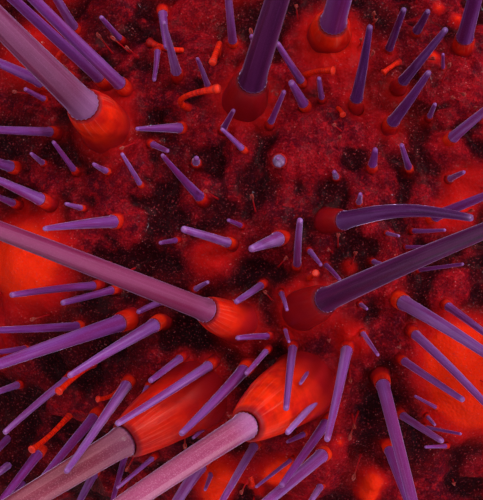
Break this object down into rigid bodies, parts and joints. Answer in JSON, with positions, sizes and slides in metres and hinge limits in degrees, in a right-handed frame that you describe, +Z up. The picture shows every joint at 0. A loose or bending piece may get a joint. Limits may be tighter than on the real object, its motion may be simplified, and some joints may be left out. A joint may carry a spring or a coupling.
{
  "type": "purple sea urchin",
  "caption": "Whole purple-spined sea urchin: a flattened round shell set all over with long and short tapering spines, standing mouth down on its lower spines.",
  "frame": {"origin": "on the floor that the spines stand on, under the middle of the whole animal's box, which is the axis through mouth and apex", "axes": "+Z up along the axis from the mouth, which faces down, to the apex; -Y towards the side that the picture looks down on"},
  "size_m": [0.2122, 0.2122, 0.1139],
  "materials": {
    "spines": "violet-purple spines with fine lengthwise ridges, satin, paler at the tips",
    "flesh": "wet deep red skin and bright orange-red muscle at the foot of each spine",
    "teeth": "off-white, smooth, slightly glossy"
  },
  "bodies": {
    "root": {"interambulacrum_1": "spines", "interambulacrum_2": "spines", "interambulacrum_3": "spines", "interambulacrum_4": "spines", "interambulacrum_5": "spines", "ambulacrum_1": "spines", "ambulacrum_2": "spines", "ambulacrum_3": "spines", "ambulacrum_4": "spines", "ambulacrum_5": "spines", "apical_disc": "flesh", "peristome": "flesh", "tooth_1": "teeth", "tooth_2": "teeth", "tooth_3": "teeth", "tooth_4": "teeth", "tooth_5": "teeth"}
  },
  "joints": []
}
